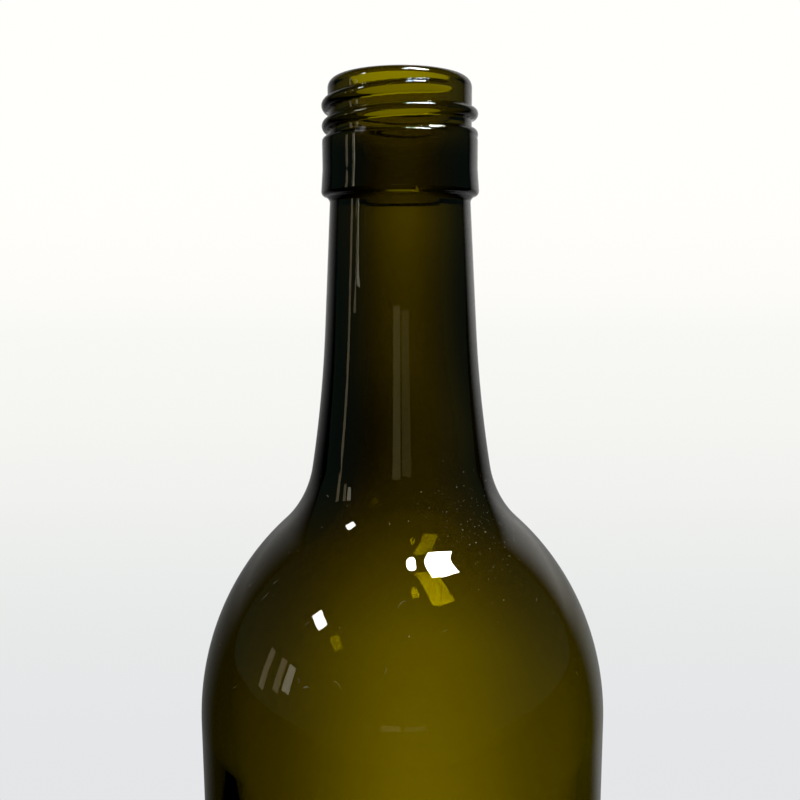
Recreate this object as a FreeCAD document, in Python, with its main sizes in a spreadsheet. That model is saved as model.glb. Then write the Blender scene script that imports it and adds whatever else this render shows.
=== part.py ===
"""Wine bottle: one piece of glass with a screw finish, a long round shoulder and a punt.

+Z points up the bottle, the origin is the middle of the ring it stands on, -Y is its front. Millimetres.
The glass is a revolved outline less a revolved cavity, plus one thread rib that winds round the finish.
"""

import FreeCAD, Part
import math
import os

import Sketcher

# name: (value, what it measures)
SIZES = {
    "body_diameter": (79.9, "straight side of the body"),
    "body_wall": (2.65, "glass at the straight side"),
    "shoulder_start": (158.0, "height where the side starts to round in"),
    "shoulder_radius": (50.6, "round of the shoulder, outside"),
    "neck_rise": (101.0, "collar's widest edge above the shoulder's start"),
    "junction_radius": (20.4, "hollow between shoulder and neck, outside"),
    "flare_radius": (250.0, "widening of the neck's lower half, outside"),
    "flare_drop": (25.2, "collar's widest edge down to where the widening starts"),
    "neck_diameter": (26.26, "neck just under the collar"),
    "neck_angle": (3.07, "half angle of the neck's taper, degrees"),
    "collar_diameter": (29.4, "collar at its widest, near the bottom"),
    "collar_side": (28.8, "collar at its straight side"),
    "collar_height": (9.8, "collar from its widest edge to its top"),
    "collar_flare": (4.0, "height of the part of the collar that widens downwards"),
    "collar_round": (0.8, "round of the collar's upper edge"),
    "collar_corner": (0.97, "round of the collar's lower edge"),
    "collar_undercut": (1.71, "widest edge down to where the underside meets the neck"),
    "finish_height": (20.15, "top of the lip above the collar's widest edge"),
    "finish_diameter": (26.5, "root of the thread and the lip"),
    "lip_round": (1.7, "round of the lip, outside"),
    "mouth_round": (1.0, "round of the lip, inside"),
    "collar_foot": (0.8, "hollow round between the collar's underside and the neck"),
    "bore": (18.5, "mouth and upper neck, inside"),
    "bore_drop": (32.2, "top of the lip down to the end of the straight bore"),
    "inner_flare": (290.0, "widening of the neck, inside"),
    "inner_junction": (24.0, "hollow between shoulder and neck, inside"),
    "inner_shoulder": (48.0, "round of the shoulder, inside"),
    "inner_drop": (3.4, "how much lower the shoulder starts inside"),
    "heel_radius": (7.0, "round between side and base, outside"),
    "ring_radius": (2.5, "round between the bearing ring and the punt"),
    "punt_height": (20.0, "top of the punt, under the base"),
    "punt_radius": (32.0, "dome of the punt, outside"),
    "floor_thickness": (5.0, "glass over the top of the punt"),
    "floor_radius": (34.0, "dome of the floor, inside"),
    "trough_radius": (4.5, "round between floor and side, inside"),
    "thread_pitch": (3.63, "rise of the thread in one turn"),
    "thread_diameter": (28.85, "crest of the thread"),
    "thread_round": (1.1, "radius of the thread's rib"),
    "thread_top": (3.15, "top of the lip down to the rib's upper end"),
    "thread_turns": (2.167, "length of the rib, in turns"),
    "thread_end": (330.0, "direction of the rib's upper end from +X, degrees"),
    "thread_lean": (0.17, "how much the thread rides up towards +X and down towards -X"),
    "thread_fade": (50.0, "turn over which each end of the rib sinks away, degrees"),
    "thread_buried": (0.3, "glass over the rib's ends"),
}

COLLAR = "sizes.shoulder_start + sizes.neck_rise"
LIP_TOP = COLLAR + " + sizes.finish_height"
PATH_POINTS_A_TURN = 24
PATH_PIECES = 8  # lengths that the thread's line is laid in, end to end
NEAR = 0.01  # how closely an edge is found by its place, mm
LEAST_CAPACITY, MOST_CAPACITY = 760e3, 780e3  # a 750 ml bottle filled to the brim, mm3
LEAST_THREAD = 250  # glass that the thread adds at least, mm3


def make_sheet(document):
    """The spreadsheet that every size comes from: name, value and meaning in each row."""
    sheet = document.addObject("Spreadsheet::Sheet", "sizes")
    for row, (name, (value, meaning)) in enumerate(SIZES.items(), start=1):
        sheet.set(f"A{row}", name)
        sheet.set(f"B{row}", str(value))
        sheet.set(f"C{row}", meaning)
        sheet.setAlias(f"B{row}", name)
    document.recompute()
    return sheet


def origin_plane(body, role):
    return next(item for item in body.Origin.OriginFeatures if item.Role == role)


def set_size(sketch, name, kind, *where, value, bound):
    """One named dimension of a sketch, bound to an expression over the sheet."""
    number = sketch.addConstraint(Sketcher.Constraint(kind, *where, value))
    sketch.renameConstraint(number, name)
    sketch.setExpression(f"Constraints.{name}", bound)


def towards(start, end, length):
    """The point that lies length from start on the way to end."""
    gap = math.dist(start, end)
    return tuple(a + (b - a) * length / gap for a, b in zip(start, end))


def blend_centre(centre_a, reach_a, centre_b, reach_b):
    """Centre of the circle that lies reach_a from one centre and reach_b from the other, the upper one."""
    span = math.dist(centre_a, centre_b)
    along = (reach_a**2 - reach_b**2 + span**2) / (2 * span)
    across = math.sqrt(reach_a**2 - along**2)
    foot = towards(centre_a, centre_b, along)
    step = ((centre_b[0] - centre_a[0]) / span, (centre_b[1] - centre_a[1]) / span)
    reaches = (across, -across)
    sides = [(foot[0] - step[1] * reach, foot[1] + step[0] * reach) for reach in reaches]
    return max(sides, key=lambda point: point[1])


class Outline:
    """A closed outline in a sketch, drawn point by point, with its ends joined and its sizes named."""

    def __init__(self, body, name):
        self.sketch = body.newObject("Sketcher::SketchObject", name)
        self.sketch.AttachmentSupport = [(origin_plane(body, "XZ_Plane"), "")]
        self.sketch.MapMode = "FlatFace"
        self.pieces = []

    def add(self, geometry, first, last, smooth):
        index = self.sketch.addGeometry(geometry, False)
        if self.pieces:
            before, _, end = self.pieces[-1]
            kind = "Tangent" if smooth else "Coincident"
            self.sketch.addConstraint(Sketcher.Constraint(kind, before, end, index, first))
        self.pieces.append((index, first, last))
        return index

    def line(self, start, end, smooth=False):
        segment = Part.LineSegment(FreeCAD.Vector(*start, 0), FreeCAD.Vector(*end, 0))
        return self.add(segment, 1, 2, smooth)

    def arc(self, start, end, centre, clockwise=False, smooth=True):
        angles = [math.atan2(p[1] - centre[1], p[0] - centre[0]) for p in (start, end)]
        if clockwise:
            angles.reverse()
        circle = Part.Circle(FreeCAD.Vector(*centre, 0), FreeCAD.Vector(0, 0, 1), math.dist(start, centre))
        ends = (2, 1) if clockwise else (1, 2)
        return self.add(Part.ArcOfCircle(circle, *angles), *ends, smooth)

    def close(self):
        """Joins the last piece to the first."""
        last, _, end = self.pieces[-1]
        first, start, _ = self.pieces[0]
        self.sketch.addConstraint(Sketcher.Constraint("Coincident", last, end, first, start))

    def flat(self, kind, *lines):
        for index in lines:
            self.sketch.addConstraint(Sketcher.Constraint(kind, index))

    def level(self, kind, *points):
        """Puts two points at the same height, or one over the other."""
        self.sketch.addConstraint(Sketcher.Constraint(kind, *points))

    def on_axis(self, index, point):
        self.sketch.addConstraint(Sketcher.Constraint("PointOnObject", index, point, -2))

    def size(self, name, kind, *where, value, bound):
        set_size(self.sketch, name, kind, *where, value=value, bound=bound)

    def height(self, name, piece, point, value, bound):
        """The height of a piece's point above the base."""
        self.size(name, "DistanceY", -1, 1, piece, point, value=value, bound=bound)

    def reach(self, name, piece, point, value, bound):
        """The distance of a piece's point from the axis."""
        self.size(name, "DistanceX", -1, 1, piece, point, value=value, bound=bound)


def draw_glass(body, v):
    """The outside of the bottle, from the top of the punt round the base and up to the lip."""
    outline = Outline(body, "outside")
    side = v.body_diameter / 2
    collar = v.shoulder_start + v.neck_rise
    top = collar + v.finish_height
    root = v.finish_diameter / 2
    taper = math.radians(v.neck_angle)

    punt_centre = (0, v.punt_height - v.punt_radius)
    ring_reach = v.punt_radius + v.ring_radius
    ring_x = math.sqrt(ring_reach**2 - (v.ring_radius - punt_centre[1]) ** 2)
    ring_centre = (ring_x, v.ring_radius)
    punt_edge = towards(punt_centre, ring_centre, v.punt_radius)
    punt = outline.arc((0, v.punt_height), punt_edge, punt_centre, clockwise=True)
    ring = outline.arc(punt_edge, (ring_x, 0), ring_centre)
    heel_x = side - v.heel_radius
    bearing = outline.line((ring_x, 0), (heel_x, 0), smooth=True)
    heel = outline.arc((heel_x, 0), (side, v.heel_radius), (heel_x, v.heel_radius))
    wall = outline.line((side, v.heel_radius), (side, v.shoulder_start), smooth=True)

    neck_foot = (v.neck_diameter / 2, collar - v.collar_undercut)
    flare_start_z = collar - v.flare_drop
    flare_start = (neck_foot[0] + (neck_foot[1] - flare_start_z) * math.tan(taper), flare_start_z)
    flare_centre = (
        flare_start[0] + v.flare_radius * math.cos(taper),
        flare_start[1] + v.flare_radius * math.sin(taper),
    )
    shoulder_centre = (side - v.shoulder_radius, v.shoulder_start)
    junction_centre = blend_centre(
        flare_centre, v.flare_radius - v.junction_radius,
        shoulder_centre, v.shoulder_radius + v.junction_radius,
    )
    shoulder_end = towards(shoulder_centre, junction_centre, v.shoulder_radius)
    flare_end = towards(flare_centre, junction_centre, v.flare_radius)
    shoulder = outline.arc((side, v.shoulder_start), shoulder_end, shoulder_centre)
    junction = outline.arc(shoulder_end, flare_end, junction_centre, clockwise=True)
    flare = outline.arc(flare_end, flare_start, flare_centre, clockwise=True)
    neck = outline.line(flare_start, neck_foot, smooth=True)

    edge = v.collar_diameter / 2
    straight = v.collar_side / 2
    corner = v.collar_corner
    rim_centre = (edge - corner, collar)
    under = outline.line(neck_foot, (edge - corner, collar - corner))
    rim = outline.arc((edge - corner, collar - corner), (edge, collar), rim_centre, smooth=False)
    widening = outline.line((edge, collar), (straight, collar + v.collar_flare))
    collar_top = collar + v.collar_height
    collar_wall = outline.line((straight, collar + v.collar_flare), (straight, collar_top - v.collar_round))
    inset = straight - v.collar_round
    shelf_round = outline.arc((straight, collar_top - v.collar_round), (inset, collar_top),
                              (inset, collar_top - v.collar_round))
    shelf = outline.line((inset, collar_top), (root, collar_top), smooth=True)
    finish = outline.line((root, collar_top), (root, top - v.lip_round))
    lip_centre = (root - v.lip_round, top - v.lip_round)
    lip = outline.arc((root, top - v.lip_round), (root - v.lip_round, top), lip_centre)
    crown = outline.line((root - v.lip_round, top), (0, top), smooth=True)
    outline.line((0, top), (0, v.punt_height))
    outline.close()

    outline.flat("Vertical", wall, collar_wall, finish)
    outline.flat("Horizontal", bearing, shelf, crown)
    outline.level("Horizontal", rim, 2, rim, 3)
    outline.level("Vertical", rim, 1, rim, 3)
    outline.on_axis(punt, 3)
    outline.on_axis(punt, 2)
    outline.on_axis(crown, 2)
    radii = {
        "punt_radius": punt, "ring_radius": ring, "heel_radius": heel, "shoulder_radius": shoulder,
        "junction_radius": junction, "flare_radius": flare, "collar_corner": rim,
        "collar_round": shelf_round, "lip_round": lip,
    }
    for name, index in radii.items():
        outline.size(name, "Radius", index, value=getattr(v, name), bound=f"sizes.{name}")
    outline.height("punt_height", punt, 2, v.punt_height, "sizes.punt_height")
    outline.height("stand", ring, 3, v.ring_radius, "sizes.ring_radius")
    outline.reach("side", wall, 1, side, "sizes.body_diameter / 2")
    outline.height("side_top", wall, 2, v.shoulder_start, "sizes.shoulder_start")
    outline.height("flare_top", neck, 1, flare_start_z, f"{COLLAR} - sizes.flare_drop")
    outline.reach("foot_x", neck, 2, neck_foot[0], "sizes.neck_diameter / 2")
    outline.height("foot_z", neck, 2, neck_foot[1], f"{COLLAR} - sizes.collar_undercut")
    outline.reach("rim_x", rim, 2, edge, "sizes.collar_diameter / 2")
    outline.height("rim_z", rim, 2, collar, COLLAR)
    outline.reach("wall_x", collar_wall, 1, straight, "sizes.collar_side / 2")
    outline.height("wall_z", collar_wall, 1, collar + v.collar_flare, f"{COLLAR} + sizes.collar_flare")
    outline.height("shelf_z", shelf, 1, collar_top, f"{COLLAR} + sizes.collar_height")
    outline.reach("root_x", finish, 1, root, "sizes.finish_diameter / 2")
    outline.height("top", crown, 2, top, LIP_TOP)
    outline.size("taper", "Angle", -2, 1, neck, 1, value=taper, bound="sizes.neck_angle * 1 deg")
    return outline.sketch


def draw_cavity(body, v):
    """The inside of the bottle, from the middle of its floor up the wall and out through the mouth."""
    outline = Outline(body, "inside")
    side = v.body_diameter / 2 - v.body_wall
    top = v.shoulder_start + v.neck_rise + v.finish_height
    bore = v.bore / 2

    floor_top = v.punt_height + v.floor_thickness
    floor_centre = (0, floor_top - v.floor_radius)
    trough_x = side - v.trough_radius
    trough_z = floor_centre[1] + math.sqrt((v.floor_radius + v.trough_radius) ** 2 - trough_x**2)
    trough_centre = (trough_x, trough_z)
    floor_edge = towards(floor_centre, trough_centre, v.floor_radius)
    floor = outline.arc((0, floor_top), floor_edge, floor_centre, clockwise=True)
    trough = outline.arc(floor_edge, (side, trough_z), trough_centre)
    shoulder_z = v.shoulder_start - v.inner_drop
    wall = outline.line((side, trough_z), (side, shoulder_z), smooth=True)

    bore_end = top - v.bore_drop
    flare_centre = (bore + v.inner_flare, bore_end)
    shoulder_centre = (side - v.inner_shoulder, shoulder_z)
    junction_centre = blend_centre(
        flare_centre, v.inner_flare - v.inner_junction,
        shoulder_centre, v.inner_shoulder + v.inner_junction,
    )
    shoulder_end = towards(shoulder_centre, junction_centre, v.inner_shoulder)
    flare_end = towards(flare_centre, junction_centre, v.inner_flare)
    shoulder = outline.arc((side, shoulder_z), shoulder_end, shoulder_centre)
    junction = outline.arc(shoulder_end, flare_end, junction_centre, clockwise=True)
    flare = outline.arc(flare_end, (bore, bore_end), flare_centre, clockwise=True)
    neck = outline.line((bore, bore_end), (bore, top), smooth=True)
    mouth = outline.line((bore, top), (0, top))
    outline.line((0, top), (0, floor_top))
    outline.close()

    outline.flat("Vertical", wall, neck)
    outline.flat("Horizontal", mouth)
    outline.on_axis(floor, 3)
    outline.on_axis(floor, 2)
    outline.on_axis(mouth, 2)
    radii = {"floor_radius": floor, "trough_radius": trough, "inner_shoulder": shoulder,
             "inner_junction": junction, "inner_flare": flare}
    for name, index in radii.items():
        outline.size(name, "Radius", index, value=getattr(v, name), bound=f"sizes.{name}")
    outline.height("floor_top", floor, 2, floor_top, "sizes.punt_height + sizes.floor_thickness")
    outline.reach("side", wall, 1, side, "sizes.body_diameter / 2 - sizes.body_wall")
    outline.height("side_top", wall, 2, shoulder_z, "sizes.shoulder_start - sizes.inner_drop")
    outline.reach("bore_x", neck, 1, bore, "sizes.bore / 2")
    outline.height("bore_end", neck, 1, bore_end, f"{LIP_TOP} - sizes.bore_drop")
    outline.height("top", mouth, 1, top, LIP_TOP)
    return outline.sketch


def turned(body, kind, name, sketch):
    """A full turn of a sketch about the bottle's axis: a Revolution adds glass, a Groove takes it away."""
    feature = body.newObject(f"PartDesign::{kind}", name)
    feature.Profile = sketch
    feature.ReferenceAxis = (sketch, ["V_Axis"])
    feature.Angle = 360
    body.Document.recompute()
    return feature


def round_edge(body, base, name, height, radius):
    """Rounds the circular edge at this height and distance from the axis, by the size of the same name."""
    def lies_there(edge):
        point = edge.Vertexes[0].Point
        reach = math.hypot(point.x, point.y)
        return edge.Closed and abs(point.z - height) < NEAR and abs(reach - radius) < NEAR

    edges = [f"Edge{number}" for number, edge in enumerate(base.Shape.Edges, start=1) if lies_there(edge)]
    if len(edges) != 1:
        raise RuntimeError(f"{name}: {len(edges)} edges at height {height:g}, radius {radius:g}, not one")
    fillet = body.newObject("PartDesign::Fillet", name)
    fillet.Base = (base, edges)
    fillet.setExpression("Radius", f"sizes.{name}")
    body.Document.recompute()
    return fillet


def thread_path(document, v):
    """The line along the middle of the thread's rib, which dives into the glass at both ends."""
    top = v.shoulder_start + v.neck_rise + v.finish_height
    crest = v.thread_diameter / 2 - v.thread_round
    depth = (v.thread_diameter - v.finish_diameter) / 2 + v.thread_buried
    turn = 360 * v.thread_turns
    count = round(PATH_POINTS_A_TURN * v.thread_turns)
    points = []
    for step in range(count + 1):
        back = turn * step / count
        share = min(back, turn - back, v.thread_fade) / v.thread_fade
        rise = share * share * (3 - 2 * share)
        radius = crest - depth * (1 - rise)
        angle = math.radians(v.thread_end - back)
        height = top - v.thread_top - v.thread_pitch * back / 360 + v.thread_lean * math.cos(angle)
        points.append(FreeCAD.Vector(radius * math.cos(angle), radius * math.sin(angle), height))
    curve = Part.BSplineCurve()
    curve.interpolate(points)
    first, last = curve.FirstParameter, curve.LastParameter
    marks = [first + (last - first) * piece / PATH_PIECES for piece in range(PATH_PIECES + 1)]
    path = document.addObject("Part::Feature", "thread_path")
    path.Shape = Part.Wire([curve.toShape(start, end) for start, end in zip(marks, marks[1:])])
    return path


def draw_rib(body, v):
    """The round section of the thread's rib, on the upright plane through the rib's upper end."""
    sketch = body.newObject("Sketcher::SketchObject", "rib_section")
    sketch.AttachmentSupport = [(origin_plane(body, "XZ_Plane"), "")]
    sketch.MapMode = "FlatFace"
    sketch.AttachmentOffset = FreeCAD.Placement(
        FreeCAD.Vector(0, 0, 0), FreeCAD.Rotation(FreeCAD.Vector(0, 1, 0), v.thread_end)
    )
    centre_x = v.finish_diameter / 2 - v.thread_round - v.thread_buried
    lean = v.thread_lean * math.cos(math.radians(v.thread_end))
    centre_z = v.shoulder_start + v.neck_rise + v.finish_height - v.thread_top + lean
    circle = Part.Circle(FreeCAD.Vector(centre_x, centre_z, 0), FreeCAD.Vector(0, 0, 1), v.thread_round)
    rib = sketch.addGeometry(circle, False)
    set_size(sketch, "thread_round", "Radius", rib, value=v.thread_round, bound="sizes.thread_round")
    set_size(sketch, "rib_x", "DistanceX", -1, 1, rib, 3, value=centre_x,
             bound="sizes.finish_diameter / 2 - sizes.thread_round - sizes.thread_buried")
    set_size(sketch, "rib_z", "DistanceY", -1, 1, rib, 3, value=centre_z,
             bound=f"{LIP_TOP} - sizes.thread_top + sizes.thread_lean * cos(sizes.thread_end)")
    return sketch


def add_thread(body, v):
    """Winds the rib round the finish and joins it to the glass."""
    path = thread_path(body.Document, v)
    section = draw_rib(body, v)
    body.Document.recompute()
    thread = body.newObject("PartDesign::AdditivePipe", "thread")
    thread.Refine = False  # merging the faces of so long a rib leaves an unsound solid
    thread.Profile = section
    thread.Spine = (path, [f"Edge{number + 1}" for number in range(PATH_PIECES)])
    thread.Mode = "Standard"
    body.Document.recompute()
    return thread


def build(document):
    """The bottle's body: outside, hollow, rounded edges and thread, in that order."""
    v = make_sheet(document)
    body = document.addObject("PartDesign::Body", "bottle_body")
    body.Label = "bottle"
    collar = v.shoulder_start + v.neck_rise
    solid = turned(body, "Revolution", "outer_form", draw_glass(body, v))
    hollow = turned(body, "Groove", "hollow", draw_cavity(body, v))
    mouth = round_edge(body, hollow, "mouth_round", collar + v.finish_height, v.bore / 2)
    foot = round_edge(body, mouth, "collar_foot", collar - v.collar_undercut, v.neck_diameter / 2)
    thread = add_thread(body, v)
    capacity = solid.Shape.Volume - hollow.Shape.Volume
    if not LEAST_CAPACITY < capacity < MOST_CAPACITY:
        raise RuntimeError(f"the hollow takes {capacity / 1000:.0f} ml")
    if thread.Shape.Volume < foot.Shape.Volume + LEAST_THREAD:
        raise RuntimeError("the thread added no glass")
    print(f"brimful {capacity / 1000:.0f} ml, glass {thread.Shape.Volume / 1000:.1f} ml")
    return body


def check(document, body):
    """Stops before anything is written if an object failed or the bottle isn't one sound solid."""
    for item in document.Objects:
        if {"Invalid", "Error"} & set(item.State):
            raise RuntimeError(f"{item.Name}: {item.State}")
    shape = body.Shape
    if shape.isNull() or not shape.isValid() or len(shape.Solids) != 1:
        raise RuntimeError(f"{body.Label} is not one valid solid")


def main():
    document = FreeCAD.newDocument("wine_bottle")
    body = build(document)
    document.recompute()
    check(document, body)
    os.makedirs("parts", exist_ok=True)
    body.Shape.exportStep(f"parts/{body.Label}.step")


main()
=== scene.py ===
"""Looks of an empty claret-shaped wine bottle of antique-green glass with a bare screw finish.

Metres, +Z up the bottle, -Y its front. Outlines are worked out in millimetres and scaled at the end.
"""

import math
import random
from types import SimpleNamespace

import bpy
import numpy as np
from mathutils import Matrix, Vector


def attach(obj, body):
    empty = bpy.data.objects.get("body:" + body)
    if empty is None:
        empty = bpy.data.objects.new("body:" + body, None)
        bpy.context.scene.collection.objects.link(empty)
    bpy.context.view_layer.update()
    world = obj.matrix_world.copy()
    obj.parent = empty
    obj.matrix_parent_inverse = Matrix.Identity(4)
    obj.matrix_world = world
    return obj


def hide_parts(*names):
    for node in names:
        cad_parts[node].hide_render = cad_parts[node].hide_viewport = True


bl_info = {
    "name": "Claret-shaped wine bottle",
    "version": (1, 0, 0),
    "blender": (4, 5, 0),
    "location": "3D View > Sidebar > Bottle",
    "description": "Makes an empty green glass wine bottle with a screw finish, its dust and a plain studio",
    "category": "Add Mesh",
}

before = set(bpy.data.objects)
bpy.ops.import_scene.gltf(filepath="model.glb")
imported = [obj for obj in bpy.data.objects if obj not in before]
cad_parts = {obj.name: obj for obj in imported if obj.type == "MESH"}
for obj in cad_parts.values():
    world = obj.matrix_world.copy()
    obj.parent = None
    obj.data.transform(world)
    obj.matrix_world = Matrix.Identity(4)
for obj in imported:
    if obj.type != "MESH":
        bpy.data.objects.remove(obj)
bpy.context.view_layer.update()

MM = 0.001
AROUND = 224  # corners in each ring of the glass


def length(name, description, millimetres):
    """A size that a user can change, kept in metres."""
    return bpy.props.FloatProperty(
        name=name, description=description, default=millimetres * MM, unit="LENGTH", precision=5
    )


def turn(name, description, degrees):
    """An angle that a user can change, kept in radians."""
    return bpy.props.FloatProperty(
        name=name, description=description, default=math.radians(degrees), unit="ROTATION"
    )


def colour(name, description, code):
    """A colour that a user can change, given here as sRGB hex."""
    return bpy.props.FloatVectorProperty(
        name=name, description=description, default=linear(code), subtype="COLOR", size=3, min=0, max=1
    )


def linear(code):
    """The linear red, green and blue of an sRGB hex colour."""
    parts = [int(code[i:i + 2], 16) / 255 for i in (1, 3, 5)]
    return tuple(c / 12.92 if c <= 0.04045 else ((c + 0.055) / 1.055) ** 2.4 for c in parts)


class OutsideSizes(bpy.types.PropertyGroup):
    """Outside of the glass, from the base up to the lip."""

    body_diameter: length("Body diameter", "Straight side of the body", 79.9)
    shoulder_start: length("Shoulder start", "Height where the side starts to round in", 158)
    shoulder_radius: length("Shoulder round", "Radius of the shoulder", 50.6)
    neck_rise: length("Neck rise", "Collar's widest edge above the shoulder's start", 101)
    junction_radius: length("Shoulder hollow", "Hollow between shoulder and neck", 20.4)
    flare_radius: length("Neck widening", "Radius of the widening of the neck's lower half", 250)
    flare_drop: length("Widening start", "Collar's widest edge down to where the widening starts", 25.2)
    neck_diameter: length("Neck diameter", "Neck just under the collar", 26.26)
    neck_angle: turn("Neck taper", "Half angle of the neck's taper", 3.07)
    collar_diameter: length("Collar diameter", "Collar at its widest edge", 29.4)
    collar_side: length("Collar side", "Collar at its straight side", 28.8)
    collar_height: length("Collar height", "Collar from its widest edge to its top", 9.8)
    collar_flare: length("Collar flare", "Height of the part of the collar that widens downwards", 4)
    collar_round: length("Collar top round", "Round of the collar's upper edge", 0.8)
    collar_corner: length("Collar bottom round", "Round of the collar's lower edge", 0.97)
    collar_undercut: length("Collar underside", "Widest edge down to the foot of the underside", 1.71)
    collar_foot: length("Collar foot", "Hollow round between the collar's underside and the neck", 0.8)
    finish_height: length("Finish height", "Top of the lip above the collar's widest edge", 20.15)
    finish_diameter: length("Finish diameter", "Root of the thread and the lip", 26.5)
    lip_round: length("Lip round", "Round of the lip's outer edge", 1.7)
    heel_radius: length("Heel round", "Round between side and base", 7)
    ring_radius: length("Ring round", "Round between the bearing ring and the punt", 2.5)
    punt_height: length("Punt height", "Top of the punt", 20)
    punt_radius: length("Punt dome", "Radius of the punt's dome", 32)


class InsideSizes(bpy.types.PropertyGroup):
    """Inside of the glass, from the mouth down to the floor."""

    body_wall: length("Body wall", "Glass at the straight side", 2.65)
    mouth_round: length("Mouth round", "Round of the lip's inner edge", 1)
    bore: length("Bore", "Mouth and upper neck", 18.5)
    bore_drop: length("Bore length", "Top of the lip down to the end of the straight bore", 32.2)
    inner_flare: length("Bore widening", "Radius of the widening of the neck", 290)
    inner_junction: length("Inner hollow", "Hollow between shoulder and neck", 24)
    inner_shoulder: length("Inner shoulder", "Radius of the shoulder", 48)
    inner_drop: length("Inner shoulder drop", "How much lower the shoulder starts than outside", 1.9)
    floor_thickness: length("Floor thickness", "Glass over the top of the punt", 5)
    floor_radius: length("Floor dome", "Radius of the floor's dome", 34)
    trough_radius: length("Trough round", "Round between floor and side", 4.5)
    lean_neck: length("Neck off centre", "How far the hollow lies off the axis in the upper neck", 0.3)
    lean_low_neck: length("Low neck off centre", "How much farther off it lies low in the neck", 0.8)
    lean_body: length("Body off centre", "How far the hollow lies off the axis in the body", 0.6)
    lean_front: length("Body off to the front", "How far the hollow lies nearer the body's front", 0.3)
    flat_neck: length("Neck sides", "How much thicker the neck's two sides are than its front", 1.2)
    flat_low_neck: length("Low neck sides", "How much less that is low in the neck", 0.4)
    flat_body: length("Body sides", "How much thicker the body's sides are than its front", 2.1)
    thin_sides: length("Thin far sides", "How much thinner the very sides of the body are again", 1.1)
    thin_front: length("Thin front", "How much thinner front and back of the body have settled", 0.4)
    thick_neck: length("Thick low neck", "Glass that gathered low in the neck", 0.5)
    thick_collar: length("Thick collar", "Glass that gathered inside the collar", 0.8)
    ripple: length("Ripple", "Depth of the soft waves that blowing leaves inside", 0.05)


class ThreadSizes(bpy.types.PropertyGroup):
    """The single rib that winds round the finish, and the seams of the mould."""

    pitch: length("Pitch", "Rise of the thread in one turn", 3.63)
    crest: length("Crest", "Diameter over the rib", 28.85)
    rib: length("Rib", "Radius of the rib", 1.1)
    blend: length("Rib foot", "Softness of the corner where the rib meets the glass", 0.3)
    buried: length("Rib ends", "Glass over the rib's ends", 0.3)
    top: length("Thread top", "Top of the lip down to the rib's upper end", 3.15)
    turns: bpy.props.FloatProperty(name="Turns", description="Length of the rib in turns", default=2.167)
    end: turn("Upper end", "Direction of the rib's upper end", 330)
    fade: turn("Fade", "Turn over which each end of the rib sinks away", 50)
    lean: length("Thread lean", "How much the thread rides up towards +X", 0.17)
    seam_side: turn("Seam", "Direction of one mould seam, with the other one opposite", 236)
    seam_width: turn("Seam width", "Half the width of the mould seam", 1.2)
    seam_rise: length("Seam height", "Height of the mould seam on neck and finish", 0.05)


class GlassLook(bpy.types.PropertyGroup):
    """What the glass does to light."""

    passed: colour("Passed colour", "Colour that the melt lets through most", "#E7E600")
    cast: colour("Cast", "Faint warm tint that each face lends to light going through it", "#FFF1E0")
    depth: bpy.props.FloatProperty(
        name="Colour depth", description="How strongly the melt absorbs, per metre", default=1800, min=0
    )


class DustSizes(bpy.types.PropertyGroup):
    """Dust and lint that lie on the shoulder."""

    specks: bpy.props.IntProperty(name="Specks", description="Number of dust specks", default=420, min=0)
    speck: length("Speck", "Usual width of a speck", 0.07)
    patch_share: bpy.props.FloatProperty(
        name="Patch share", description="Share of the specks in the patch", default=0.6, min=0, max=1
    )
    patch_side: turn("Patch side", "Direction of the patch's middle from +X", -54)
    patch_width: turn("Patch width", "Spread of the patch to each side", 15)
    patch_height: length("Patch height", "Height of the patch's middle", 197)
    patch_rise: length("Patch rise", "Spread of the patch up and down", 5.5)
    lowest: length("Lowest dust", "Height where the other specks start", 168)
    highest: length("Highest dust", "Height where the other specks end", 214)
    thickest: length("Thickest dust", "Height where most of the other specks lie", 195)
    fibres: bpy.props.IntProperty(name="Fibres", description="Number of lint fibres", default=16, min=0)
    fibre: length("Fibre", "Usual length of a lint fibre", 1.5)
    fibre_width: length("Fibre width", "Thickness of a lint fibre at its middle", 0.024)
    fibre_lift: length("Fibre lift", "Height of a fibre's middle over the glass", 0.03)
    shade: colour("Dust colour", "Grey of household dust and cotton lint", "#C9C6BC")


class StageSizes(bpy.types.PropertyGroup):
    """The paper sweep, the lamps and the camera."""

    wall_distance: length("Wall distance", "Axis to the upright part of the sweep", 1700)
    sweep_round: length("Sweep round", "Radius of the curve between floor and wall", 600)
    wall_height: length("Wall height", "Top of the sweep", 2600)
    left: length("Left side", "How far the sweep reaches to the left", 3200)
    right: length("Right side", "How far the sweep reaches to the right", 3200)
    front: length("Front side", "How far the floor reaches towards the camera", 1800)
    paper: colour("Paper", "White paper of the sweep", "#E4E4E4")
    eye_back: length("Camera distance", "Axis to the camera", 166.6)
    eye_aside: length("Camera aside", "How far the camera stands left of the axis", 0.2)
    eye_height: length("Camera height", "Height of the camera above the base", 244.6)
    tilt: turn("Camera tilt", "How far the camera looks down", 8.5)
    roll: turn("Camera roll", "How far the camera is turned about its own line of sight", 0.25)
    lens: bpy.props.FloatProperty(
        name="Lens", description="Focal length on a 36 mm sensor", default=39.15, unit="CAMERA"
    )


GROUPS = {
    "bottle_outside": OutsideSizes,
    "bottle_inside": InsideSizes,
    "bottle_thread": ThreadSizes,
    "bottle_glass": GlassLook,
    "bottle_dust": DustSizes,
    "bottle_stage": StageSizes,
}


def in_mm(*groups):
    """All the sizes of some groups by name, lengths in millimetres and angles in radians."""
    sizes = {}
    for group in groups:
        for name, prop in group.bl_rna.properties.items():
            if name in ("rna_type", "name"):
                continue
            value = getattr(group, name)
            sizes[name] = value / MM if prop.unit == "LENGTH" else value
    return SimpleNamespace(**sizes)


# Outlines

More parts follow.
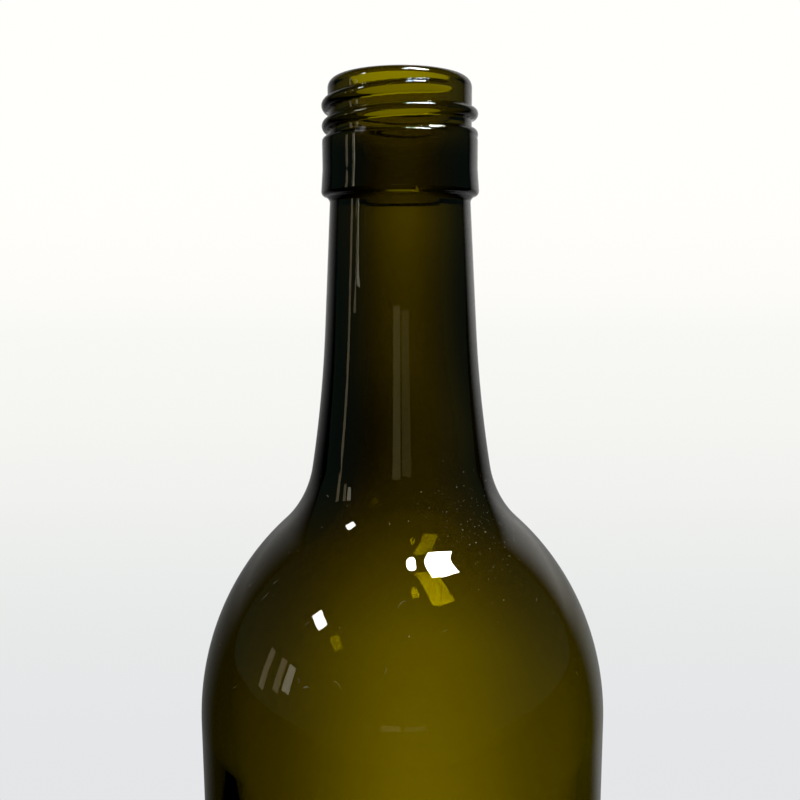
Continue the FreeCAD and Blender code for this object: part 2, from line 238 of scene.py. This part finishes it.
def towards(start, end, reach):
    """The point that lies reach from start on the way to end."""
    gap = math.dist(start, end)
    return tuple(a + (b - a) * reach / gap for a, b in zip(start, end))


def blend_centre(centre_a, reach_a, centre_b, reach_b):
    """Centre of the circle that lies reach_a from one centre and reach_b from the other, the upper one."""
    span = math.dist(centre_a, centre_b)
    along = (reach_a**2 - reach_b**2 + span**2) / (2 * span)
    across = math.sqrt(reach_a**2 - along**2)
    foot = towards(centre_a, centre_b, along)
    step = ((centre_b[0] - centre_a[0]) / span, (centre_b[1] - centre_a[1]) / span)
    sides = [(foot[0] - step[1] * reach, foot[1] + step[0] * reach) for reach in (across, -across)]
    return max(sides, key=lambda point: point[1])


class Outline:
    """Points of an outline, each a distance from the axis and a height."""

    def __init__(self, start):
        self.points = [start]

    def line(self, end, steps=1):
        """A straight run from the last point to this one."""
        start = self.points[-1]
        for step in range(1, steps + 1):
            share = step / steps
            self.points.append(tuple(a + (b - a) * share for a, b in zip(start, end)))
        return self

    def arc(self, end, centre, steps):
        """The shorter way round the centre from the last point to this one."""
        start = self.points[-1]
        first = math.atan2(start[1] - centre[1], start[0] - centre[0])
        sweep = math.atan2(end[1] - centre[1], end[0] - centre[0]) - first
        sweep = (sweep + math.pi) % (2 * math.pi) - math.pi
        reach = math.dist(start, centre)
        for step in range(1, steps + 1):
            angle = first + sweep * step / steps
            self.points.append((centre[0] + reach * math.cos(angle), centre[1] + reach * math.sin(angle)))
        return self


def outside_outline(v):
    """The outside from the top of the punt to the crown of the lip, and where the finish starts in it."""
    side = v.body_diameter / 2
    collar = v.shoulder_start + v.neck_rise
    top = collar + v.finish_height
    root = v.finish_diameter / 2

    # punt, bearing ring, heel and straight side
    punt_centre = (0, v.punt_height - v.punt_radius)
    ring_reach = v.punt_radius + v.ring_radius
    ring_x = math.sqrt(ring_reach**2 - (v.ring_radius - punt_centre[1]) ** 2)
    outline = Outline((0, v.punt_height))
    outline.arc(towards(punt_centre, (ring_x, v.ring_radius), v.punt_radius), punt_centre, 24)
    outline.arc((ring_x, 0), (ring_x, v.ring_radius), 8)
    heel_x = side - v.heel_radius
    outline.line((heel_x, 0), 3)
    outline.arc((side, v.heel_radius), (heel_x, v.heel_radius), 12)
    outline.line((side, v.shoulder_start), 24)

    # shoulder and neck
    neck_foot = (v.neck_diameter / 2, collar - v.collar_undercut)
    flare_z = collar - v.flare_drop
    flare_start = (neck_foot[0] + (neck_foot[1] - flare_z) * math.tan(v.neck_angle), flare_z)
    flare_centre = (
        flare_start[0] + v.flare_radius * math.cos(v.neck_angle),
        flare_start[1] + v.flare_radius * math.sin(v.neck_angle),
    )
    shoulder_centre = (side - v.shoulder_radius, v.shoulder_start)
    hollow_centre = blend_centre(
        flare_centre, v.flare_radius - v.junction_radius,
        shoulder_centre, v.shoulder_radius + v.junction_radius,
    )
    outline.arc(towards(shoulder_centre, hollow_centre, v.shoulder_radius), shoulder_centre, 36)
    outline.arc(towards(flare_centre, hollow_centre, v.flare_radius), hollow_centre, 16)
    outline.arc(flare_start, flare_centre, 16)
    foot_reach = v.collar_foot * 0.45  # from the corner under the collar to where its round starts
    foot_z = neck_foot[1] - foot_reach
    outline.line((neck_foot[0] + (neck_foot[1] - foot_z) * math.tan(v.neck_angle), foot_z), 12)

    # collar
    edge = v.collar_diameter / 2
    under = (edge - v.collar_corner, collar - v.collar_corner)
    slope = towards(neck_foot, under, foot_reach)
    start = outline.points[-1]
    for share in (0.25, 0.5, 0.75, 1):  # the round corner under the collar
        near, far = (1 - share) ** 2, share**2
        middle = 2 * share * (1 - share)
        outline.points.append(tuple(
            near * a + middle * b + far * c for a, b, c in zip(start, neck_foot, slope)
        ))
    outline.line(under, 2)
    outline.arc((edge, collar), (edge - v.collar_corner, collar), 6)
    straight = v.collar_side / 2
    outline.line((straight, collar + v.collar_flare), 6)

    # top of the collar, finish and lip
    finish_start = len(outline.points)
    collar_top = collar + v.collar_height
    outline.line((straight, collar_top - v.collar_round), 10)
    inset = straight - v.collar_round
    outline.arc((inset, collar_top), (inset, collar_top - v.collar_round), 5)
    top_slope = 0.12  # how much higher the collar's top is at the thread's root than at its edge
    outline.line((root, collar_top + top_slope), 2)
    outline.line((root, top - v.lip_round), 72)
    outline.arc((root - v.lip_round, top), (root - v.lip_round, top - v.lip_round), 16)
    return outline.points, finish_start


def inside_outline(v):
    """The inside from the crown of the lip down to the middle of the floor."""
    side = v.body_diameter / 2 - v.body_wall
    top = v.shoulder_start + v.neck_rise + v.finish_height
    bore = v.bore / 2
    shoulder_z = v.shoulder_start - v.inner_drop
    bore_end = top - v.bore_drop
    flare_centre = (bore + v.inner_flare, bore_end)
    shoulder_centre = (side - v.inner_shoulder, shoulder_z)
    hollow_centre = blend_centre(
        flare_centre, v.inner_flare - v.inner_junction,
        shoulder_centre, v.inner_shoulder + v.inner_junction,
    )
    floor_top = v.punt_height + v.floor_thickness
    floor_centre = (0, floor_top - v.floor_radius)
    trough_x = side - v.trough_radius
    trough_z = floor_centre[1] + math.sqrt((v.floor_radius + v.trough_radius) ** 2 - trough_x**2)

    outline = Outline((bore + v.mouth_round, top))
    outline.arc((bore, top - v.mouth_round), (bore + v.mouth_round, top - v.mouth_round), 8)
    outline.line((bore, bore_end), 28)
    outline.arc(towards(flare_centre, hollow_centre, v.inner_flare), flare_centre, 20)
    outline.arc(towards(shoulder_centre, hollow_centre, v.inner_shoulder), hollow_centre, 18)
    outline.arc((side, shoulder_z), shoulder_centre, 36)
    outline.line((side, trough_z), 24)
    outline.arc(towards(floor_centre, (trough_x, trough_z), v.floor_radius), (trough_x, trough_z), 8)
    outline.arc((0, floor_top), floor_centre, 18)
    return outline.points


# Surfaces

def smooth(low, high, value):
    """0 at low and 1 at high, whichever of them is larger, with a soft change between them."""
    share = np.clip((value - low) / (high - low), 0, 1)
    return share * share * (3 - 2 * share)


def hump(middle, spread, value):
    """1 at the middle, falling softly to next to nothing two spreads away."""
    return np.exp(-((value - middle) / spread) ** 2)


def soft_max(a, b, blend):
    """The larger of two, with a soft corner where they cross."""
    gap = np.clip((b - a) / blend * 0.5 + 0.5, 0, 1)
    return a * (1 - gap) + b * gap + blend * gap * (1 - gap)


def rings(points):
    """Angles, distances from the axis and heights of a grid with one row for each point of an outline."""
    angles = np.arange(AROUND) * 2 * math.pi / AROUND
    reach = np.array([p[0] for p in points])[:, None] * np.ones(AROUND)
    height = np.array([p[1] for p in points])[:, None] * np.ones(AROUND)
    return angles[None, :] * np.ones_like(reach), reach, height


def thread_reach(angles, height, v):
    """How far out the thread's rib stands at each direction and height."""
    collar = v.shoulder_start + v.neck_rise
    middle = collar + v.finish_height - v.top
    reach = np.zeros_like(angles)
    for lap in range(-3, 1):  # laps enough for a rib of nearly three turns
        back = v.end - (angles + lap * 2 * math.pi)
        ahead = 2 * math.pi * v.turns - back
        there = (back > 0) & (ahead > 0)
        rise = smooth(0, v.fade, np.minimum(back, ahead))
        rib_z = middle - v.pitch * back / (2 * math.pi) + v.lean * np.cos(angles)
        depth = (v.crest - v.finish_diameter) / 2 + v.buried
        centre = v.crest / 2 - v.rib - depth * (1 - rise)
        bulge = np.sqrt(np.clip(v.rib**2 - (height - rib_z) ** 2, 0, None))
        reach = np.maximum(reach, np.where(there & (bulge > 0), centre + bulge, 0))
    return reach


def seam_rise(angles, height, v):
    """The fine raised line that the two halves of the mould leave on neck, collar and finish."""
    across = (angles - v.seam_side + math.pi / 2) % math.pi - math.pi / 2
    collar = v.shoulder_start + v.neck_rise
    faint, full = collar - 22, collar - 8  # up the neck the seam comes in between these heights
    lip = collar + v.finish_height - v.lip_round
    ends = 0.05  # half the height over which it stops at the lip
    span = smooth(faint, full, height) * smooth(lip + ends, lip - ends, height)
    rough = 1 + 0.5 * np.sin(height * 9.1) * np.sin(height * 3.7 + 1)  # its height wavers along it
    return v.seam_rise * hump(0, v.seam_width, across) * span * rough


def uneven_hollow(angles, height, v):
    """How far inside an even wall the hollow's wall lies, and how far the hollow leans to +X and to -Y.

    A plunger shapes the finish, so that is even. Below it the bottle is blown, and its glass gathers.
    """
    collar = v.shoulder_start + v.neck_rise
    floor_top = v.punt_height + v.floor_thickness
    even, uneven = collar + 11, collar + 4  # the plunger's reach ends between these heights
    blown = smooth(even, uneven, height) * smooth(floor_top, floor_top + 20, height)
    neck_end, body_end = v.shoulder_start + 44, v.shoulder_start + 22  # neck turns into body here
    body = smooth(neck_end, body_end, height)
    low_neck = hump(v.shoulder_start + 54, 12, height)
    in_collar = hump(collar + 4, 6, height)
    # soft waves run round the hollow, and drift as they go up
    waves = (
        np.sin(2 * angles + height * 0.031) + 0.6 * np.sin(3 * angles - height * 0.053 + 2)
        + 0.35 * np.sin(7 * angles + height * 0.017 + 1)
    )
    side = np.cos(angles)
    flat = v.flat_neck + (v.flat_body - v.flat_neck) * body - v.flat_low_neck * low_neck
    gathered = (
        v.thick_neck * low_neck + v.thick_collar * in_collar - v.thin_front * body
        + flat * side**2 - v.thin_sides * body * side**12
    )
    lean = v.lean_neck + (v.lean_body - v.lean_neck) * body + v.lean_low_neck * low_neck
    return blown * (gathered - v.ripple * waves), blown * lean, blown * body * v.lean_front


def closed_mesh(name, angles, reach, height, aside, ahead):
    """A smooth closed mesh from a grid of rings whose first and last rows are single points on the axis."""
    x = reach * np.cos(angles) + aside
    y = reach * np.sin(angles) - ahead
    inner = slice(1, -1)
    corners = np.stack([x[inner], y[inner], height[inner]], axis=-1).reshape(-1, 3)
    start = [x[0, 0], y[0, 0], height[0, 0]]
    end = [x[-1, 0], y[-1, 0], height[-1, 0]]
    corners = np.vstack([[start], corners, [end]]) * MM
    count, around = x[inner].shape
    faces = []
    for row in range(count - 1):
        for column in range(around):
            after = (column + 1) % around
            low, high = 1 + row * around, 1 + (row + 1) * around
            faces.append((low + column, low + after, high + after, high + column))
    last = len(corners) - 1
    base = 1 + (count - 1) * around
    for column in range(around):
        after = (column + 1) % around
        faces.append((0, 1 + after, 1 + column))
        faces.append((last, base + column, base + after))
    piece = mesh_piece(name, corners.tolist(), faces)
    piece.data.validate()
    return piece


def mesh_piece(name, corners, faces, flat=False):
    """A mesh object in the scene, shaded smooth unless it is flat-faced."""
    mesh = bpy.data.meshes.new(name)
    mesh.from_pydata([tuple(corner) for corner in corners], [], faces)
    mesh.polygons.foreach_set("use_smooth", [not flat] * len(mesh.polygons))
    piece = bpy.data.objects.new(name, mesh)
    bpy.context.scene.collection.objects.link(piece)
    return piece


# Dust

def on_glass(outline, angle, level):
    """A point on the outside, with its outward and upward directions."""
    levels = [p[1] for p in outline]
    reaches = [p[0] for p in outline]
    span = 0.2  # height over which the slope is taken
    reach = float(np.interp(level, levels, reaches))
    slope = (float(np.interp(level + span, levels, reaches)) - reach) / span
    out = Vector((math.cos(angle), math.sin(angle), -slope)).normalized()
    up = Vector((math.cos(angle) * slope, math.sin(angle) * slope, 1)).normalized()
    return Vector((reach * math.cos(angle), reach * math.sin(angle), level)), out, up


def dust_specks(outline, dust, picks):
    """Corners and faces of small five-cornered flakes: a patch of them, and others all over the shoulder."""
    sides = 5
    lift, foot = 0.01, 0.002  # gap between the glass and a flake's rim and foot
    crown = 0.8  # height of a flake's crown over its rim, in half widths
    corners, faces = [], []
    for _ in range(dust.specks):
        if picks.random() < dust.patch_share:
            angle = picks.gauss(dust.patch_side, dust.patch_width)
            level = picks.gauss(dust.patch_height, dust.patch_rise)
        else:
            angle = picks.uniform(0, 2 * math.pi)
            level = picks.triangular(dust.lowest, dust.highest, dust.thickest)
        place, out, up = on_glass(outline, angle, level)
        beside = out.cross(up)
        size = dust.speck / 2 * picks.lognormvariate(0, 0.45)
        base = len(corners)
        turned = picks.uniform(0, math.pi)
        for step in range(sides):
            around = turned + step * 2 * math.pi / sides
            reach = size * picks.uniform(0.6, 1.2)
            rim = beside * math.cos(around) + up * math.sin(around)
            corners.append(place + out * lift + rim * reach)
        corners.append(place + out * (lift + size * crown))
        corners.append(place + out * foot)
        for step in range(sides):
            after = (step + 1) % sides
            faces.append((base + step, base + after, base + sides))
            faces.append((base + after, base + step, base + sides + 1))
    return corners, faces


def lint_fibres(outline, dust, picks):
    """Corners and faces of thin bent fibres that lie on the front of the shoulder."""
    lengths, sides = 8, 4
    climb = 0.8  # height gained for each unit of length that a fibre heads upwards
    corners, faces = [], []
    for _ in range(dust.fibres):
        angle = picks.uniform(math.radians(-150), math.radians(-20))
        level = picks.uniform(dust.lowest + 4, dust.highest - 8)
        size = dust.fibre * picks.uniform(0.5, 1.5)
        heading = picks.uniform(0, math.pi)
        bend = picks.uniform(-0.3, 0.3)
        line = []
        for step in range(lengths + 1):
            place, out, _ = on_glass(outline, angle, level)
            line.append((place + out * dust.fibre_lift, out))
            heading += bend + picks.uniform(-0.12, 0.12)
            level += size / lengths * math.sin(heading) * climb
            angle += size / lengths * math.cos(heading) / max(place.xy.length, 1)
        base = len(corners)
        for index, (place, out) in enumerate(line):
            ahead = line[min(index + 1, lengths)][0] - line[max(index - 1, 0)][0]
            beside = ahead.cross(out).normalized()
            thick = dust.fibre_width / 2 * (1 - abs(index - lengths / 2) / lengths)
            for step in range(sides):
                around = step * 2 * math.pi / sides
                corners.append(place + (beside * math.cos(around) + out * math.sin(around)) * thick)
        for index in range(lengths):
            for step in range(sides):
                after = (step + 1) % sides
                low, high = base + index * sides, base + (index + 1) * sides
                faces.append((low + step, low + after, high + after, high + step))
        end = base + lengths * sides
        faces.append(tuple(base + step for step in reversed(range(sides))))
        faces.append(tuple(end + step for step in range(sides)))
    return corners, faces


# Materials

def node(tree, kind, settings=None, links=None):
    """Adds a node, sets its sockets or properties by name, and links others' outputs to its inputs.

    An input is given by its name, or by its place where several share a name.
    """
    made = tree.nodes.new(kind)
    for name, value in (settings or {}).items():
        if name in made.inputs:
            made.inputs[name].default_value = value
        else:
            setattr(made, name, value)
    for place, source in (links or {}).items():
        tree.links.new(source, made.inputs[place])
    return made


def fresh_material(name):
    """A new material with an empty node tree."""
    material = bpy.data.materials.new(name)
    material.use_nodes = True
    material.node_tree.nodes.clear()
    return material


def antique_green_glass(look):
    """Antique-green soda-lime container glass, blown in a mould and fire-polished.

    Clear and sharp in reflection, with the plain 1.52 index of bottle glass. Its colour is nearly all in
    the melt: iron and chromium take the blue out at once and the rest with depth, so thin glass is
    olive-yellow, a wall seen square is brown-green, and thick edges are nearly black. The faint warm cast
    at each face keeps what comes through from turning greener than such glass is.
    """
    material = fresh_material("antique_green_soda_lime_glass_moulded")
    tree = material.node_tree
    surface = node(tree, "ShaderNodeBsdfPrincipled", {
        "Base Color": (*look.cast, 1), "Roughness": 0.0, "IOR": 1.52, "Transmission Weight": 1.0,
    })
    melt = node(tree, "ShaderNodeVolumeAbsorption", {
        "Color": (*look.passed, 1), "Density": look.depth,
    })
    node(tree, "ShaderNodeOutputMaterial", None, {
        "Surface": surface.outputs["BSDF"], "Volume": melt.outputs["Volume"],
    })
    return material


def household_dust(shade):
    """Household dust and cotton lint, settled dry: dull and pale grey, with next to no shine."""
    material = fresh_material("household_dust_and_cotton_lint")
    tree = material.node_tree
    surface = node(tree, "ShaderNodeBsdfPrincipled", {
        "Base Color": (*shade, 1), "Roughness": 0.95, "Specular IOR Level": 0.2,
    })
    node(tree, "ShaderNodeOutputMaterial", None, {"Surface": surface.outputs["BSDF"]})
    return material


def seen(tree):
    """1 for rays from the camera and rays that glass or a gloss sends on, and 0 for the rest."""
    path = node(tree, "ShaderNodeLightPath")
    both = node(tree, "ShaderNodeMath", {"operation": "MAXIMUM"}, {
        0: path.outputs["Is Camera Ray"], 1: path.outputs["Is Glossy Ray"],
    })
    every = node(tree, "ShaderNodeMath", {"operation": "MAXIMUM"}, {
        0: both.outputs[0], 1: path.outputs["Is Transmission Ray"],
    })
    return every.outputs[0]


def mirrored(tree):
    """1 for rays that a gloss mirrors, and 0 for the rest.

    A ray that goes through clear glass counts as glossy too, so those are taken off.
    """
    path = node(tree, "ShaderNodeLightPath")
    only = node(tree, "ShaderNodeMath", {"operation": "SUBTRACT", "use_clamp": True}, {
        0: path.outputs["Is Glossy Ray"], 1: path.outputs["Is Transmission Ray"],
    })
    return only.outputs[0]


def backdrop_tone(tree, along):
    """Pale grey at the bottle's foot, then lighter and lighter to white high on the sweep."""
    span = node(tree, "ShaderNodeMapRange", {"From Max": 2.5}, {"Value": along})
    ramp = node(tree, "ShaderNodeValToRGB", None, {"Fac": span.outputs["Result"]})
    stops = ((0.0, "#E2E3E5"), (0.11, "#E5E6E8"), (0.17, "#E8EAE9"), (0.23, "#ECEEEC"), (0.30, "#F1F1EF"),
             (0.44, "#F4F4F1"), (0.64, "#F8F8F5"), (0.70, "#FDFCF8"), (0.78, "#FFFEFA"), (0.9, "#FFFFFC"))
    while len(ramp.color_ramp.elements) < len(stops):
        ramp.color_ramp.elements.new(0.5)
    for element, (position, code) in zip(ramp.color_ramp.elements, stops):
        element.position = position
        element.color = (*linear(code), 1)
    return ramp.outputs["Color"]


def mirrored_brightness(tree, place):
    """How bright a gloss shows the sweep: dimmer towards both sides, the left above all, and low down."""
    aside = node(tree, "ShaderNodeMath", {"operation": "DIVIDE"}, {
        0: place.outputs["X"], 1: place.outputs["Y"],
    })
    left = node(tree, "ShaderNodeMapRange", {
        "From Min": -1.9, "From Max": 0.6, "To Max": 0.62, "interpolation_type": "SMOOTHSTEP",
    }, {"Value": aside.outputs[0]})
    right = node(tree, "ShaderNodeMapRange", {
        "From Min": 1.8, "From Max": 0.8, "interpolation_type": "SMOOTHSTEP",
    }, {"Value": aside.outputs[0]})
    low = node(tree, "ShaderNodeMapRange", {"From Max": 0.25, "To Min": 0.5}, {"Value": place.outputs["Z"]})
    both = node(tree, "ShaderNodeMath", {"operation": "MULTIPLY"}, {
        0: left.outputs["Result"], 1: right.outputs["Result"],
    })
    every = node(tree, "ShaderNodeMath", {"operation": "MULTIPLY"}, {
        0: both.outputs[0], 1: low.outputs["Result"],
    })
    return every.outputs[0]


def paper_sweep(paper):
    """Matt white background paper, plain uncoated stock.

    At the bottle's foot it is lit by the softbox and takes a shadow, and where a gloss mirrors it there its
    colour is painted black, a painted reflection of a dark studio. Farther back it glows by itself from pale
    grey to white, as an evenly lit backdrop does, and a gloss shows that glow dimmer towards the sides.
    """
    material = fresh_material("matt_white_background_paper")
    tree = material.node_tree
    coordinates = node(tree, "ShaderNodeTexCoord")
    place = node(tree, "ShaderNodeSeparateXYZ", None, {"Vector": coordinates.outputs["Object"]})
    along = node(tree, "ShaderNodeMath", {"operation": "ADD"}, {
        0: place.outputs["Y"], 1: place.outputs["Z"],
    })
    in_gloss = mirrored(tree)
    strength = node(tree, "ShaderNodeMapRange", {"To Min": 1.0}, {
        "Value": in_gloss, "To Max": mirrored_brightness(tree, place),
    })
    glow = node(tree, "ShaderNodeEmission", None, {
        "Strength": strength.outputs["Result"], "Color": backdrop_tone(tree, along.outputs[0]),
    })
    # painted reflection: where a gloss mirrors the paper near the bottle's foot, its colour is black, as
    # painted shade for a dark studio round it
    pale = node(tree, "ShaderNodeMixRGB", {
        "Color1": (*paper, 1), "Color2": (*linear("#000000"), 1),
    }, {"Fac": in_gloss})
    matt = node(tree, "ShaderNodeBsdfDiffuse", None, {"Color": pale.outputs["Color"]})
    back = node(tree, "ShaderNodeMapRange", {
        "From Min": 0.05, "From Max": 0.21, "interpolation_type": "SMOOTHSTEP",
    }, {"Value": along.outputs[0]})
    share = node(tree, "ShaderNodeMath", {"operation": "MULTIPLY"}, {
        0: back.outputs["Result"], 1: seen(tree),
    })
    mixed = node(tree, "ShaderNodeMixShader", None, {
        "Fac": share.outputs[0], 1: matt.outputs["BSDF"], 2: glow.outputs["Emission"],
    })
    node(tree, "ShaderNodeOutputMaterial", None, {"Surface": mixed.outputs["Shader"]})
    return material


def lamp_cloth(name, code, strength):
    """White cloth or a window pane with light behind it: an even glow."""
    material = fresh_material(name)
    tree = material.node_tree
    glow = node(tree, "ShaderNodeEmission", {"Color": (*linear(code), 1), "Strength": strength})
    node(tree, "ShaderNodeOutputMaterial", None, {"Surface": glow.outputs["Emission"]})
    return material


# Studio

def build_sweep(stage):
    """One sheet of paper: the floor, a round bend behind the bottle, and the wall."""
    wall, bend = stage.wall_distance, stage.sweep_round
    path = [(-stage.front, 0), (0, 0)]
    steps = 24
    for step in range(steps + 1):
        angle = step / steps * math.pi / 2
        path.append((wall - bend + bend * math.sin(angle), bend - bend * math.cos(angle)))
    path.append((wall, stage.wall_height))
    corners = [(x, y, z) for y, z in path for x in (-stage.left, stage.right)]
    faces = [(2 * i, 2 * i + 1, 2 * i + 3, 2 * i + 2) for i in range(len(path) - 1)]
    sweep = mesh_piece("paper_sweep", corners, faces)
    sweep.data.materials.append(paper_sweep(stage.paper))


def direction(azimuth, elevation):
    """The way from the bottle's shoulder towards a lamp: 0 is the bottle's front, 90 is +X, in degrees."""
    side, rise = math.radians(azimuth), math.radians(elevation)
    return Vector((math.sin(side) * math.cos(rise), -math.cos(side) * math.cos(rise), math.sin(rise)))


def lamp(name, outline, distance, code, strength):
    """A flat lamp whose corners stand in these directions, at a distance in metres from the shoulder."""
    shoulder = Vector((0, 0, 0.2))
    ways = [direction(*corner) for corner in outline]
    facing = sum(ways, Vector()).normalized()
    corners = [shoulder + way * (distance / way.dot(facing)) for way in ways]
    piece = mesh_piece(name, corners, [tuple(range(len(corners)))], flat=True)
    piece.data.materials.append(lamp_cloth(name + "_cloth", code, strength))
    piece.visible_camera = False
    piece.visible_diffuse = False
    piece.visible_shadow = False


def hang_lamps():
    """A window, two lamps, three panes and two cards, which only show in the glass.

    Each outline is a list of azimuths and elevations from the shoulder, in degrees.
    """
    lamp("window", ((41, 63), (54, 60), (71, 56), (82, 72), (62, 82), (38, 82)), 1.6, "#FFFDF6", 75)
    lamp("round_lamp", [(18 + 9 * math.cos(a), 72.5 + 3 * math.sin(a)) for a in np.linspace(0, 5.5, 8)],
         1.5, "#FFFFFF", 70)
    lamp("square_lamp", ((-70, 34), (-66, 39), (-56, 36), (-60, 32)), 1.7, "#FFFDF8", 26)
    lamp("left_pane_far", ((-85, 0), (-81, 0), (-81, 14), (-85, 14)), 2.2, "#FFEBC0", 0.95)
    lamp("left_pane_middle", ((-75, 3), (-71, 3), (-71, 15), (-75, 15)), 2.2, "#FFEBC0", 0.95)
    lamp("left_pane_near", ((-69, 5), (-64, 5), (-64, 15), (-69, 15)), 2.2, "#FFF9E0", 2.1)
    lamp("far_card_left", ((-11, 2.3), (-1, 2.3), (-1, 4.7), (-11, 4.7)), 2.4, "#FFF4A8", 0.5)
    lamp("far_card_right", ((1, 2.3), (12, 2.3), (12, 4.4), (1, 4.4)), 2.4, "#FFF4A8", 0.3)


def hang_softbox(scene):
    """A broad soft light from above, which lights paper and dust and doesn't show in the glass."""
    fill = bpy.data.lights.new("overhead_softbox", "AREA")
    fill.shape = "SQUARE"
    fill.size = 1.2
    fill.energy = 14
    softbox = bpy.data.objects.new("overhead_softbox", fill)
    softbox.location = (0.1, -0.2, 1.7)
    softbox.rotation_euler = (math.radians(-6), math.radians(3), 0)
    softbox.visible_camera = False
    softbox.visible_glossy = False
    softbox.visible_transmission = False
    scene.collection.objects.link(softbox)


def build_room(scene):
    """The room round the paper.

    White where it is seen straight or through glass, a soft grey light on matt things, and nearly black in
    a gloss, where it is a little lighter towards the two sides.
    """
    world = bpy.data.worlds.new("dim_studio")
    scene.world = world
    world.use_nodes = True
    tree = world.node_tree
    tree.nodes.clear()
    path = node(tree, "ShaderNodeLightPath")
    straight = node(tree, "ShaderNodeMath", {"operation": "MAXIMUM"}, {
        0: path.outputs["Is Camera Ray"], 1: path.outputs["Is Transmission Ray"],
    })
    way = node(tree, "ShaderNodeTexCoord")
    parts = node(tree, "ShaderNodeSeparateXYZ", None, {"Vector": way.outputs["Generated"]})
    aside = node(tree, "ShaderNodeMath", {"operation": "ABSOLUTE"}, {0: parts.outputs["X"]})
    sides = node(tree, "ShaderNodeMapRange", {"From Min": 0.6, "From Max": 1.0}, {"Value": aside.outputs[0]})
    in_gloss = node(tree, "ShaderNodeMixRGB", {
        "Color1": (*linear("#0D120D"), 1), "Color2": (*linear("#30423A"), 1),
    }, {"Fac": sides.outputs["Result"]})
    on_matt = node(tree, "ShaderNodeMixRGB", {"Color2": (*linear("#A0A0A0"), 1)}, {
        "Fac": path.outputs["Is Diffuse Ray"], "Color1": in_gloss.outputs["Color"],
    })
    every = node(tree, "ShaderNodeMixRGB", {"Color2": (*linear("#F9F9F8"), 1)}, {
        "Fac": straight.outputs[0], "Color1": on_matt.outputs["Color"],
    })
    light = node(tree, "ShaderNodeBackground", None, {"Color": every.outputs["Color"]})
    node(tree, "ShaderNodeOutputWorld", None, {"Surface": light.outputs["Background"]})


def place_camera(scene, stage):
    """A camera close in front of the neck, looking slightly down."""
    camera = bpy.data.cameras.new("camera")
    camera.lens = stage.lens
    camera.sensor_width = 36
    camera.clip_start = 0.01
    camera.clip_end = 20
    eye = bpy.data.objects.new("camera", camera)
    eye.location = (-stage.eye_aside, -stage.eye_back, stage.eye_height)
    eye.rotation_euler = (math.pi / 2 - stage.tilt, 0, 0)
    turned = eye.rotation_euler.to_matrix() @ Matrix.Rotation(-stage.roll, 3, "Z")
    eye.rotation_euler = turned.to_euler()
    scene.collection.objects.link(eye)
    scene.camera = eye


# Operators

class BOTTLE_OT_glass(bpy.types.Operator):
    """Makes the bottle's glass, one closed body with its hollow, punt, collar and thread"""

    bl_idname = "bottle.glass"
    bl_label = "Glass"

    def execute(self, context):
        scene = context.scene
        v = in_mm(scene.bottle_outside, scene.bottle_inside)
        thread = in_mm(scene.bottle_outside, scene.bottle_thread)
        outside, finish_start = outside_outline(v)
        inside = inside_outline(v)
        angles, reach, height = rings(outside + inside)
        outer = np.arange(len(reach)) < len(outside)

        finish = slice(finish_start, len(outside))
        rib = thread_reach(angles[finish], height[finish], thread)
        reach[finish] = np.where(rib > 0, soft_max(reach[finish], rib, thread.blend), reach[finish])
        reach[outer] += seam_rise(angles[outer], height[outer], thread)

        inward, aside, ahead = uneven_hollow(angles, height, v)
        for change in (inward, aside, ahead):
            change[outer] = 0
        glass = closed_mesh("bottle_glass", angles, reach - inward, height, aside, ahead)
        glass.data.materials.append(antique_green_glass(scene.bottle_glass))
        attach(glass, "root")
        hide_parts("bottle")
        return {"FINISHED"}


class BOTTLE_OT_dust(bpy.types.Operator):
    """Strews dust specks and lint fibres over the shoulder, thickest at the front right"""

    bl_idname = "bottle.dust"
    bl_label = "Dust and lint"

    def execute(self, context):
        scene = context.scene
        v = in_mm(scene.bottle_outside)
        dust = in_mm(scene.bottle_dust)
        outline, _ = outside_outline(v)
        outline = [p for p in outline if p[1] > v.heel_radius]  # from here up its heights only rise
        picks = random.Random(7)  # the same dust each time
        material = household_dust(scene.bottle_dust.shade)

        corners, faces = dust_specks(outline, dust, picks)
        specks = mesh_piece("dust_specks", [c * MM for c in corners], faces, flat=True)
        corners, faces = lint_fibres(outline, dust, picks)
        fibres = mesh_piece("lint_fibres", [c * MM for c in corners], faces)
        for piece in (specks, fibres):
            piece.data.materials.append(material)
            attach(piece, "root")
        return {"FINISHED"}


class BOTTLE_OT_stage(bpy.types.Operator):
    """Sets up the paper sweep, the lamps, the room and the camera"""

    bl_idname = "bottle.stage"
    bl_label = "Studio"

    def execute(self, context):
        scene = context.scene
        stage = scene.bottle_stage
        scene.view_settings.view_transform = "Standard"
        build_sweep(stage)
        hang_lamps()
        hang_softbox(scene)
        build_room(scene)
        place_camera(scene, stage)
        return {"FINISHED"}


class BOTTLE_PT_panel(bpy.types.Panel):
    """Lists the steps that make the bottle and its studio"""

    bl_idname = "BOTTLE_PT_panel"
    bl_label = "Wine bottle"
    bl_space_type = "VIEW_3D"
    bl_region_type = "UI"
    bl_category = "Bottle"

    def draw(self, context):
        for operator in OPERATORS:
            self.layout.operator(operator.bl_idname)
        for group in GROUPS:
            box = self.layout.box()
            settings = getattr(context.scene, group)
            for name in settings.__annotations__:
                box.prop(settings, name)


OPERATORS = (BOTTLE_OT_glass, BOTTLE_OT_dust, BOTTLE_OT_stage)


def register():
    for group, kind in GROUPS.items():
        bpy.utils.register_class(kind)
        setattr(bpy.types.Scene, group, bpy.props.PointerProperty(type=kind))
    for kind in (*OPERATORS, BOTTLE_PT_panel):
        bpy.utils.register_class(kind)


def unregister():
    for kind in (BOTTLE_PT_panel, *reversed(OPERATORS)):
        bpy.utils.unregister_class(kind)
    for group, kind in reversed(GROUPS.items()):
        delattr(bpy.types.Scene, group)
        bpy.utils.unregister_class(kind)


def main():
    register()
    bpy.ops.bottle.glass()
    bpy.ops.bottle.dust()
    bpy.ops.bottle.stage()


if __name__ == "__main__":
    main()
